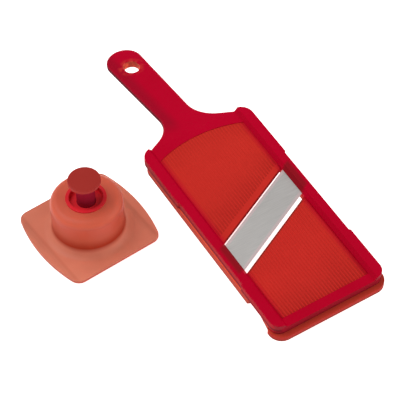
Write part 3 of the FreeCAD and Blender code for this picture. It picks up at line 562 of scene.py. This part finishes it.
def bake(piece):
    bpy.context.view_layer.update()
    depsgraph = bpy.context.evaluated_depsgraph_get()
    return bpy.data.meshes.new_from_object(piece.evaluated_get(depsgraph))


def rib_pattern(material):
    """Half-sunk round bars side by side, each from one slanted line to another line.

    The far line may bow back towards the sides of the row, as an arc does."""
    numbers = ("Pitch", "Width", "Height", "Near", "Near Slope", "Far", "Far Slope",
               "Far Curve")
    pattern = Pattern("panel_ribs", {"Count": "NodeSocketInt",
                                     **{key: "NodeSocketFloat" for key in numbers}})
    given = pattern.given
    first = (given["Count"] - 1.0) * given["Pitch"] * -0.5
    row = pattern.make("GeometryNodeMeshLine", {"mode": "OFFSET"}, {
        "Count": given["Count"], "Start Location": pattern.vector(first),
        "Offset": pattern.vector(given["Pitch"])})[0]
    bar = pattern.make("GeometryNodeMeshCylinder", {}, {
        "Vertices": 16, "Radius": 0.5, "Depth": 1.0})[0]
    lying = pattern.make("GeometryNodeTransform", {}, {
        "Geometry": bar, "Rotation": (math.pi / 2, 0, 0), "Translation": (0, 0.5, 0)})[0]
    bars = pattern.make("GeometryNodeInstanceOnPoints", {}, {
        "Points": row, "Instance": lying,
        "Scale": pattern.vector(given["Width"], 1.0, given["Height"] * 2.0)})[0]
    real = pattern.make("GeometryNodeRealizeInstances", {}, {"Geometry": bars})[0]
    x, along, z = pattern.here()
    near = given["Near"] + x * given["Near Slope"]
    bow = x * x * given["Far Curve"] * 0.5
    bow = bow * (bow * given["Far Curve"] * 0.5 + 1.0)
    far = given["Far"] + x * given["Far Slope"] - bow
    shaped = pattern.make("GeometryNodeSetPosition", {}, {
        "Geometry": real, "Position": pattern.vector(x, near + along * (far - near), z)})[0]
    pattern.end(shaped, material)
    return pattern


def make_ribs():
    slant = math.cos(BLADE_ANGLE)
    lower = rib_pattern(LOWER_RED).grow("lower_panel_ribs", {
        "Count": RIB_COUNT, "Pitch": RIB_PITCH, "Width": RIB_WIDTH,
        "Height": LOWER_RIB_HEIGHT, "Near": LAND_END + RIB_MARGIN, "Near Slope": 0.0,
        "Far": LOWER_EDGE - RIB_MARGIN / slant, "Far Slope": BLADE_SLOPE,
        "Far Curve": 0.0}, LEVEL_TO_GROUND @ Matrix.Translation((0, 0, LOWER_TOP)))
    upper = rib_pattern(UPPER_RED).grow("upper_panel_ribs", {
        "Count": RIB_COUNT, "Pitch": RIB_PITCH, "Width": RIB_WIDTH,
        "Height": UPPER_RIB_HEIGHT, "Near": UPPER_EDGE + RAMP / slant,
        "Near Slope": BLADE_SLOPE, "Far": PANEL_CROWN - RIB_MARGIN,
        "Far Slope": 0.0, "Far Curve": 1 / PANEL_ARC},
        LEVEL_TO_GROUND @ Matrix.Translation((0, 0, UPPER_TOP)))
    for ribs in (lower, upper):
        for face in ribs.data.polygons:
            face.use_smooth = len(face.vertices) == 4
        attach(ribs, "slicer")


# ---------------------------------------------------------------- screws

def closed_mesh(name, shape):
    """Turns a bmesh of a closed shape into a mesh whose faces point outwards."""
    bmesh.ops.recalc_face_normals(shape, faces=shape.faces)
    mesh = bpy.data.meshes.new(name)
    shape.to_mesh(mesh)
    shape.free()
    return mesh


def cross_cutter():
    """A tapered cross that cuts the recess of a screw head, point upwards."""
    arm = 1.5 * MM
    half = 0.36 * MM
    corners = [(half, half), (half, arm), (-half, arm), (-half, half), (-arm, half),
               (-arm, -half), (-half, -half), (-half, -arm), (half, -arm), (half, -half),
               (arm, -half), (arm, half)]
    shape = bmesh.new()
    rings = []
    for height, scale in ((-0.3 * MM, 1.1), (0.85 * MM, 0.6)):
        rings.append([shape.verts.new((x * scale, y * scale, height)) for x, y in corners])
    shape.faces.new(rings[0][::-1])
    shape.faces.new(rings[1])
    for i in range(len(corners)):
        j = (i + 1) % len(corners)
        shape.faces.new((rings[0][i], rings[0][j], rings[1][j], rings[1][i]))
    return closed_mesh("cross_cutter", shape)


def screw_profile(radius, head, head_height, length):
    """Radius and height from the middle of the head's face to the point."""
    root = radius * 0.8
    points = [(head * 0.72, 0), (head * 0.9, head_height * 0.15),
              (head * 0.98, head_height * 0.45), (head, head_height * 0.75),
              (head, head_height), (radius, head_height)]
    height = head_height + 0.3 * MM
    while height < length - THREAD_PITCH:
        points += [(root, height), (radius, height + THREAD_PITCH * 0.45),
                   (root, height + THREAD_PITCH * 0.9)]
        height += THREAD_PITCH
    points.append((root, length - 0.3 * MM))
    points.append((root * 0.4, length))
    return points


def turned(points, sides):
    """A closed mesh turned from a profile of radius and height."""
    shape = bmesh.new()
    rings = []
    for radius, height in points:
        rings.append([shape.verts.new((radius * math.cos(2 * math.pi * i / sides),
                                       radius * math.sin(2 * math.pi * i / sides), height))
                      for i in range(sides)])
    for low, high in zip(rings, rings[1:]):
        for i in range(sides):
            j = (i + 1) % sides
            shape.faces.new((low[i], low[j], high[j], high[i]))
    shape.faces.new(rings[0][::-1])
    shape.faces.new(rings[-1])
    return closed_mesh("turned", shape)


def make_screw(radius, head, head_height, length):
    """A pan-head screw with a cross recess, its head at the bottom."""
    screw = bpy.data.objects.new(
        "screw", turned(screw_profile(radius, head, head_height, length), SCREW_SIDES))
    cutter = bpy.data.objects.new("cutter", cross_cutter())
    for item in (screw, cutter):
        bpy.context.collection.objects.link(item)
    recess = screw.modifiers.new("recess", "BOOLEAN")
    recess.operation = "DIFFERENCE"
    recess.object = cutter
    mesh = bake(screw)
    screw.modifiers.clear()
    screw.data = mesh
    bpy.data.objects.remove(cutter)
    return screw


def screw_pattern():
    """Rows of equal screws, sheared so that the rows run along the blade."""
    kinds = {"Screw": "NodeSocketObject", "Columns": "NodeSocketInt",
             "Column Spacing": "NodeSocketFloat", "Rows": "NodeSocketInt",
             "Row Spacing": "NodeSocketFloat", "Slope": "NodeSocketFloat"}
    pattern = Pattern("screw_rows", kinds)
    given = pattern.given
    lines = []
    for count, spacing, across in ((given["Columns"], given["Column Spacing"], True),
                                   (given["Rows"], given["Row Spacing"], False)):
        first = (count - 1.0) * spacing * -0.5
        ends = [pattern.vector(value) if across else pattern.vector(0.0, value)
                for value in (first, spacing)]
        lines.append(pattern.make("GeometryNodeMeshLine", {"mode": "OFFSET"}, {
            "Count": count, "Start Location": ends[0], "Offset": ends[1]})[0])
    columns = pattern.make("GeometryNodeInstanceOnPoints", {}, {
        "Points": lines[0], "Instance": lines[1]})[0]
    places = pattern.make("GeometryNodeRealizeInstances", {}, {"Geometry": columns})[0]
    x, y, z = pattern.here()
    sheared = pattern.make("GeometryNodeSetPosition", {}, {
        "Geometry": places, "Position": pattern.vector(x, y + x * given["Slope"], z)})[0]
    screw = pattern.make("GeometryNodeObjectInfo", {}, {"Object": given["Screw"]})
    shape = [value for value in screw if value.socket.name == "Geometry"][0]
    screws = pattern.make("GeometryNodeInstanceOnPoints", {}, {
        "Points": sheared, "Instance": shape})[0]
    pattern.end(screws, FASTENER)
    return pattern


def make_screws():
    pattern = screw_pattern()
    low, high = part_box("plunger_screw")
    middle = (Vector(low) + Vector(high)) / 2
    plunger_place = Matrix.Translation((middle.x, middle.y, low[2]))
    blade_place = LEVEL_TO_GROUND @ Matrix.Translation((0, BLADE_MIDDLE, BLADE_SCREW_LOW))
    cover_place = HANDLE_TO_GROUND @ Matrix.Translation(
        (0, COVER_SCREW_START + COVER_SCREW_SPACING / 2, -HANDLE_THICK))
    row_spacing = BLADE_SCREW_OFFSET * 2 / math.cos(BLADE_ANGLE)
    sets = [
        ("blade_screws", "slicer", blade_place,
         (SCREW_RADIUS, SCREW_HEAD, SCREW_HEAD_HEIGHT, BLADE_SCREW_LENGTH),
         (2, BLADE_SCREW_X * 2, 2, row_spacing, BLADE_SLOPE)),
        ("cover_screws", "slicer", cover_place,
         (SCREW_RADIUS, SCREW_HEAD, SCREW_HEAD_HEIGHT, COVER_SCREW_LENGTH),
         (1, 0.0, 2, COVER_SCREW_SPACING, 0.0)),
        ("plunger_screw", "plunger", plunger_place,
         (PLUNGER_SCREW_RADIUS, SCREW_HEAD, PLUNGER_HEAD_HEIGHT, high[2] - low[2]),
         (1, 0.0, 1, 0.0, 0.0))]
    for node, body, place, sizes, layout in sets:
        screw = make_screw(*sizes)
        keys = ("Columns", "Column Spacing", "Rows", "Row Spacing", "Slope")
        piece = pattern.grow("detailed_" + node, {"Screw": screw, **dict(zip(keys, layout))},
                             place)
        bpy.data.objects.remove(screw)
        piece.data.shade_smooth()
        piece.data.set_sharp_from_angle(angle=math.radians(30))
        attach(piece, body)
        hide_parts(node)


# ---------------------------------------------------------------- stage, light and camera

def make_stage():
    """A plain white floor that glows softly, like a light table.

    It lies as low as the lower frame goes when it is clipped off."""
    reach = 40.0
    below = -RELEASE["range_m"][1] - 0.5 * MM
    floor = bpy.data.meshes.new("floor")
    floor.from_pydata([(-reach, -reach, below), (reach, -reach, below),
                       (reach, reach, below), (-reach, reach, below)], [], [(0, 1, 2, 3)])
    board = bpy.data.objects.new("floor", floor)
    bpy.context.collection.objects.link(board)
    board.data.materials.append(pale_floor())


def make_light(name, place, aim, size, power):
    lamp = bpy.data.lights.new(name, "AREA")
    lamp.shape = "SQUARE"
    lamp.size = size
    lamp.energy = power
    holder = bpy.data.objects.new(name, lamp)
    holder.location = place
    holder.rotation_euler = (Vector(aim) - Vector(place)).to_track_quat("-Z", "Y").to_euler()
    bpy.context.collection.objects.link(holder)


def make_lights():
    world = bpy.data.worlds.new("studio")
    bpy.context.scene.world = world
    world.use_nodes = True
    background = world.node_tree.nodes["Background"].inputs
    background["Color"].default_value = (1, 1, 1, 1)
    background["Strength"].default_value = 0.35
    middle = (0, 0.13, 0)
    make_light("key", place=(-0.7, 0.8, 1.6), aim=middle, size=1.5, power=18)
    make_light("fill", place=(1.2, -0.8, 1.2), aim=middle, size=1.4, power=11)


def make_camera():
    """A long lens from the front left, high over the slicer."""
    azimuth = math.radians(-30.04)
    elevation = math.radians(49.58)
    roll = math.radians(-2.245)
    aim = Vector((-0.0221, 0.1355, 0))
    distance = 1.3393
    back = Vector((math.sin(azimuth) * math.cos(elevation),
                   -math.cos(azimuth) * math.cos(elevation), math.sin(elevation)))
    across = Vector((math.cos(azimuth), math.sin(azimuth), 0))
    above = back.cross(across)
    right = across * math.cos(roll) + above * math.sin(roll)
    up = above * math.cos(roll) - across * math.sin(roll)
    camera = bpy.data.cameras.new("camera")
    camera.lens = 162.8
    camera.clip_end = 100
    holder = bpy.data.objects.new("camera", camera)
    facing = Matrix((right, up, back)).transposed().to_4x4()
    holder.matrix_world = Matrix.Translation(aim + back * distance) @ facing
    bpy.context.collection.objects.link(holder)
    bpy.context.scene.camera = holder
    bpy.context.scene.view_settings.view_transform = "Standard"


make_ribs()
make_screws()
make_stage()
make_lights()
make_camera()
